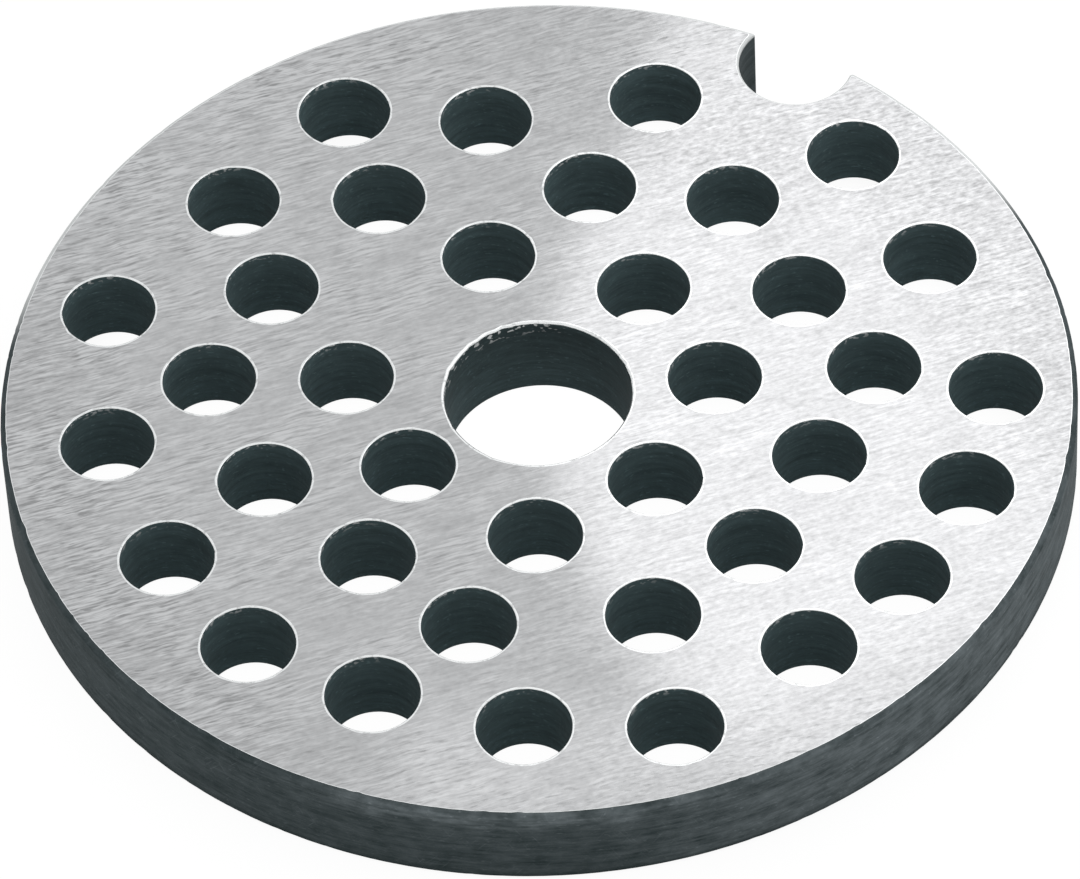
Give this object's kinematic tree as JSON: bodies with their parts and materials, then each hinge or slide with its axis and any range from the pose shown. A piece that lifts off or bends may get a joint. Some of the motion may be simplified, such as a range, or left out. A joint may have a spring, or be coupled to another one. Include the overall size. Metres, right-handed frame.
{
  "type": "meat grinder plate",
  "caption": "Round flat steel plate for a meat grinder, with a plain centre bore, rows of small round feed holes right through, and a half-round locating notch in the rim.",
  "frame": {"origin": "on the centre bore's axis, in the plane of the outlet face that the plate rests on", "axes": "+Z along the bore towards the knife face, +Y from the bore to the locating notch, +X completes a right-handed frame"},
  "size_m": [0.054, 0.0539, 0.0049],
  "materials": {
    "steel": "faces ground bright with fine straight scratches; rim, bore and hole walls left dark grey from hardening"
  },
  "bodies": {
    "root": {"grinder_plate": "steel"}
  },
  "joints": []
}
